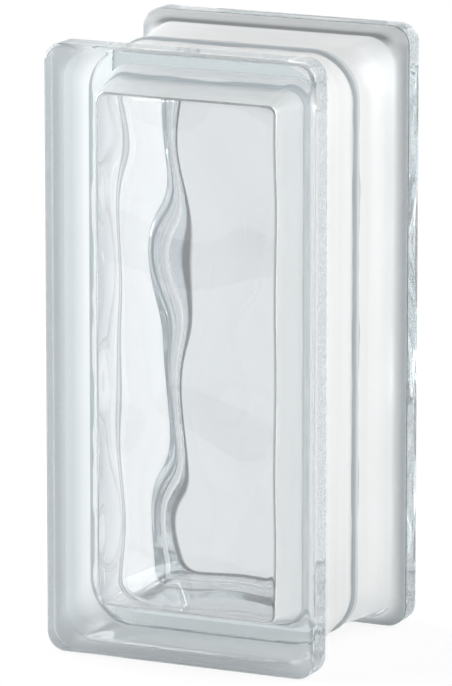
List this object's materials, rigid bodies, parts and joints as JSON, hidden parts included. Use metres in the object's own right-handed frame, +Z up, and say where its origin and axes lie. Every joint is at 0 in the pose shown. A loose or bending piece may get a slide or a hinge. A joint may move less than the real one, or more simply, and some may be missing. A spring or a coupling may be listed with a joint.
{
  "type": "glass block",
  "caption": "Hollow clear glass block of the tall half size, with flat outer faces, waved inner faces, flanged edges with a mortar channel and a fused seam.",
  "frame": {"origin": "middle of the bottom edge, at mid width and mid depth, on the floor", "axes": "+Z up along the tall edge, +X across the face to the right, +Y from the front face to the back"},
  "size_m": [0.09, 0.08, 0.19],
  "materials": {
    "clear_glass": "clear pressed glass, fire-polished faces, faint blue-green cast"
  },
  "bodies": {
    "root": {"glass_block": "clear_glass"}
  },
  "joints": []
}
